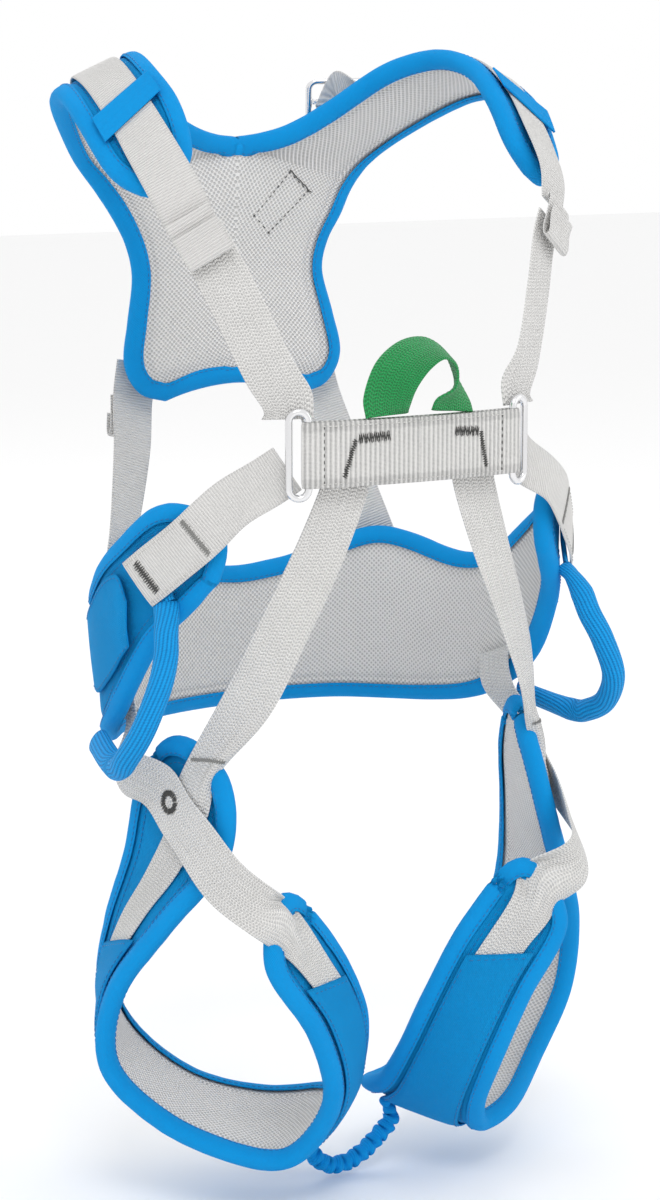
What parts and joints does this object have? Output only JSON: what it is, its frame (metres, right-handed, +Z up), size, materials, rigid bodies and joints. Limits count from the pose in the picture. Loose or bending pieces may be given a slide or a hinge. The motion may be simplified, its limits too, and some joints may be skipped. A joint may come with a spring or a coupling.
{
  "type": "climbing harness",
  "caption": "Child's full-body climbing harness: padded back and shoulder piece, hip belt, two leg loops, webbing straps, steel rings, front bridge, tie-in loop and gear loops.",
  "frame": {"origin": "on the axis of the wearer's torso, at the height where the belt's lower back edge is 60 mm below", "axes": "+Z up, the wearer faces -Y, the wearer's left is +X"},
  "size_m": [0.2562, 0.1902, 0.5075],
  "materials": {
    "blue_fabric": "matt woven polyester face",
    "stretch_binding": "stretch jersey binding tape",
    "spacer_mesh": "light grey spacer mesh",
    "closed_cell_foam": "closed-cell foam core",
    "white_webbing": "ribbed polyester webbing",
    "green_webbing": "twill webbing",
    "braided_cord": "braided tube cord",
    "polished_steel": "polished steel wire"
  },
  "bodies": {
    "harness": {"back_pad_binding": "stretch_binding", "back_pad_cover": "blue_fabric", "back_pad_foam": "closed_cell_foam", "back_pad_mesh_liner": "spacer_mesh", "belt_binding": "stretch_binding", "belt_cover": "blue_fabric", "belt_foam": "closed_cell_foam", "belt_mesh_liner": "spacer_mesh", "bridge_band": "white_webbing", "left_adjuster_bar": "polished_steel", "left_back_strap": "white_webbing", "left_back_strap_fold": "white_webbing", "left_crossing_strap": "white_webbing", "left_gear_loop_tab": "braided_cord", "left_hip_pocket": "blue_fabric", "left_hip_strap": "white_webbing", "left_keeper": "stretch_binding", "left_leg_pad_binding": "stretch_binding", "left_leg_pad_cover": "blue_fabric", "left_leg_pad_foam": "closed_cell_foam", "left_leg_pad_mesh_liner": "spacer_mesh", "left_leg_sleeve": "blue_fabric", "left_leg_strap": "white_webbing", "left_lower_shoulder_strap": "white_webbing", "left_ring": "polished_steel", "left_shoulder_strap": "white_webbing", "left_strap_fold": "white_webbing", "leg_loop_elastic": "braided_cord", "right_adjuster_bar": "polished_steel", "right_back_strap": "white_webbing", "right_back_strap_fold": "white_webbing", "right_crossing_strap": "white_webbing", "right_gear_loop_tab": "braided_cord", "right_hip_pocket": "blue_fabric", "right_hip_strap": "white_webbing", "right_keeper": "stretch_binding", "right_leg_pad_binding": "stretch_binding", "right_leg_pad_cover": "blue_fabric", "right_leg_pad_foam": "closed_cell_foam", "right_leg_pad_mesh_liner": "spacer_mesh", "right_leg_sleeve": "blue_fabric", "right_leg_strap": "white_webbing", "right_lower_shoulder_strap": "white_webbing", "right_ring": "polished_steel", "right_shoulder_strap": "white_webbing", "right_strap_fold": "white_webbing", "tie_in_loop_tail_left": "green_webbing", "tie_in_loop_tail_right": "green_webbing"},
    "tie_in_loop": {"tie_in_loop": "green_webbing"},
    "left_gear_loop": {"left_gear_loop": "braided_cord"},
    "right_gear_loop": {"right_gear_loop": "braided_cord"},
    "left_adjuster_frame": {"left_adjuster_frame": "polished_steel"},
    "right_adjuster_frame": {"right_adjuster_frame": "polished_steel"}
  },
  "joints": [
    {"name": "tie_in_loop_flop", "type": "hinge", "parent": "harness", "child": "tie_in_loop", "pos_m": [0, -0.07451, 0.09115], "axis": [1, 0, 0], "range_deg": [-15, 45]},
    {"name": "left_gear_loop_swing", "type": "hinge", "parent": "harness", "child": "left_gear_loop", "pos_m": [0.10725, -0.01449, -0.02325], "axis": [-0.094, -0.631, 0.7701], "range_deg": [0, 30]},
    {"name": "right_gear_loop_swing", "type": "hinge", "parent": "harness", "child": "right_gear_loop", "pos_m": [-0.10725, -0.01449, -0.02325], "axis": [-0.094, 0.631, -0.7701], "range_deg": [0, 30]},
    {"name": "left_adjuster_tilt", "type": "hinge", "parent": "harness", "child": "left_adjuster_frame", "pos_m": [0.061, 0.097, 0.219], "axis": [-0.9243, 0.3818, 0], "range_deg": [0, 22]},
    {"name": "right_adjuster_tilt", "type": "hinge", "parent": "harness", "child": "right_adjuster_frame", "pos_m": [-0.061, 0.097, 0.219], "axis": [-0.9243, -0.3818, 0], "range_deg": [0, 22]}
  ]
}
